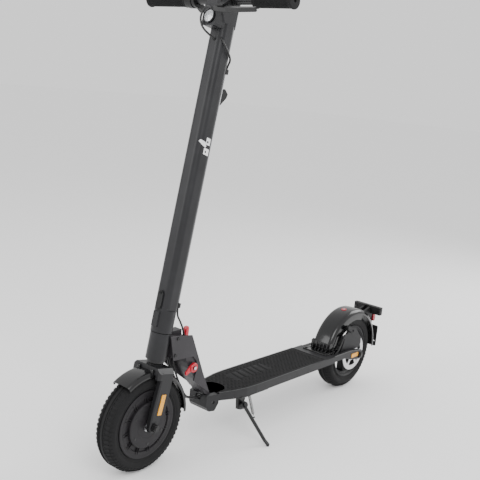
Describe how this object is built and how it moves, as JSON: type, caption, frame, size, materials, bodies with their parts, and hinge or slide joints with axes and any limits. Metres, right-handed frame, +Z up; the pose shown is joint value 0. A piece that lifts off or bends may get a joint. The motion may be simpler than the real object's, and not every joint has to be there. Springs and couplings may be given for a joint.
{
  "type": "electric kick scooter",
  "caption": "Folding electric kick scooter with hub motor, raked stem, patterned deck, fenders, disc brake and kickstand.",
  "frame": {"origin": "on the ground at the middle of the overall length and width", "axes": "+X forward, +Y to the rider's left, +Z up"},
  "size_m": [1.218, 0.464, 1.1977],
  "materials": {
    "deck_alloy": "satin black powder coat",
    "black_plastic": "fine-grained black",
    "gloss_black": "glossy black",
    "rubber": "moulded, patterned",
    "tyre": "black tread rubber",
    "neck_alloy": "dark grey satin",
    "steel": "bright zinc-plated",
    "black_steel": "black oxide",
    "cast_alloy": "black painted cast alloy",
    "red": "red anodised",
    "amber": "amber reflector",
    "red_lens": "red lens",
    "clear_lens": "clear headlight lens",
    "battery_wrap": "blue shrink wrap",
    "windings": "copper windings and laminations",
    "cable": "black cable housing"
  },
  "bodies": {
    "deck": {"deck_shell": "deck_alloy", "deck_bottom_cover": "black_plastic", "deck_mat": "rubber", "front_hinge_block": "deck_alloy", "hinge_pin": "black_steel", "rear_arms": "deck_alloy", "rear_fender": "gloss_black", "fender_latch_bar": "black_plastic", "frame_screws": "black_steel", "plate_holder": "black_plastic", "tail_light": "red_lens", "rear_reflectors": "amber", "controller": "cast_alloy", "brake_caliper": "black_steel", "kickstand_bracket": "black_steel", "rear_axle": "black_steel", "brake_housing_deck": "cable", "kickstand_spring": "steel"},
    "rear_wheel": {"rear_rim": "cast_alloy", "rear_tyre": "tyre", "brake_disc": "steel", "rear_bearings": "steel"},
    "neck": {"head_tube": "deck_alloy", "neck_core": "neck_alloy", "neck_plates": "neck_alloy", "neck_screws": "black_steel", "headset_bearings": "black_steel", "brake_housing_lower": "cable", "brake_housing_loop": "cable", "harness_loop": "cable"},
    "steering": {"fork": "deck_alloy", "motor_axle": "black_steel", "motor_stator": "windings", "front_fender": "black_plastic", "fork_reflectors": "amber", "stem_collar": "deck_alloy", "stem_tube": "deck_alloy", "stem_head": "deck_alloy", "battery": "battery_wrap", "folding_hook": "black_plastic", "cable_clips": "black_plastic", "brake_cable": "cable", "handlebar": "deck_alloy", "grips": "rubber", "display": "black_plastic", "headlight_lens": "clear_lens", "throttle_housing": "black_plastic", "brake_bracket": "black_plastic"},
    "front_wheel": {"motor_shell": "cast_alloy", "motor_covers": "cast_alloy", "front_tyre": "tyre", "front_bearings": "steel"},
    "kickstand": {"kickstand_leg": "black_steel"},
    "brake_lever": {"brake_lever": "black_steel"},
    "throttle_lever": {"throttle_lever": "black_plastic"},
    "caliper_arm": {"caliper_arm": "black_steel"},
    "power_button": {"power_button": "black_plastic"},
    "port_cover": {"port_cover": "rubber"},
    "latch_lever": {"latch_lever": "red"},
    "release_tab": {"release_tab": "red"}
  },
  "joints": [
    {"name": "rear_wheel_spin", "type": "hinge", "parent": "deck", "child": "rear_wheel", "pos_m": [-0.439, 0, 0.127], "axis": [0, 1, 0], "continuous": true},
    {"name": "fold", "type": "hinge", "parent": "deck", "child": "neck", "pos_m": [0.254, 0, 0.129], "axis": [0, -1, 0], "range_deg": [0, 82], "deforming": ["brake_housing_loop", "harness_loop"]},
    {"name": "steer", "type": "hinge", "parent": "neck", "child": "steering", "pos_m": [0.4724, 0, 0.127], "axis": [-0.1736, 0, 0.9848], "range_deg": [-50, 50], "deforming": ["brake_housing_lower"]},
    {"name": "front_wheel_spin", "type": "hinge", "parent": "steering", "child": "front_wheel", "pos_m": [0.482, 0, 0.127], "axis": [0, 1, 0], "continuous": true},
    {"name": "kickstand_swing", "type": "hinge", "parent": "deck", "child": "kickstand", "pos_m": [0.149, 0.06, 0.101], "axis": [0, 0.8572, 0.515], "range_deg": [0, 74], "deforming": ["kickstand_spring"]},
    {"name": "brake_pull", "type": "hinge", "parent": "steering", "child": "brake_lever", "pos_m": [0.3637, 0.05, 1.14019], "axis": [0.509, 0, 0.8607], "range_deg": [0, 13], "stiffness_Nm_per_rad": 1.2, "springref_deg": -5.73},
    {"name": "caliper_pull", "type": "hinge", "parent": "deck", "child": "caliper_arm", "pos_m": [-0.401, 0.05, 0.214], "axis": [0, 1, 0], "range_deg": [0, 20]},
    {"name": "throttle_press", "type": "hinge", "parent": "steering", "child": "throttle_lever", "pos_m": [0.32755, -0.08, 1.16156], "axis": [0, -1, 0], "range_deg": [0, 30], "stiffness_Nm_per_rad": 0.3, "springref_deg": -5.73},
    {"name": "power_press", "type": "slide", "parent": "steering", "child": "power_button", "axis": [0.1736, 0, -0.9848], "range_m": [0, 0.0008], "stiffness_N_per_m": 1500, "springref_m": -0.0003},
    {"name": "port_cover_hinge", "type": "hinge", "parent": "steering", "child": "port_cover", "pos_m": [0.44885, 0, 0.41834], "axis": [0, 1, 0], "range_deg": [0, 100]},
    {"name": "safety_lever_turn", "type": "hinge", "parent": "neck", "child": "latch_lever", "pos_m": [0.341, 0.031, 0.248], "axis": [0, 1, 0], "range_deg": [0, 45]},
    {"name": "release_tab_press", "type": "hinge", "parent": "neck", "child": "release_tab", "pos_m": [0.344, 0, 0.314], "axis": [0, 1, 0], "range_deg": [0, 12], "stiffness_Nm_per_rad": 0.3, "springref_deg": -5.73}
  ],
  "couplings": [
    {"joint": "caliper_pull", "follows": "brake_pull", "ratio": 1.5}
  ]
}
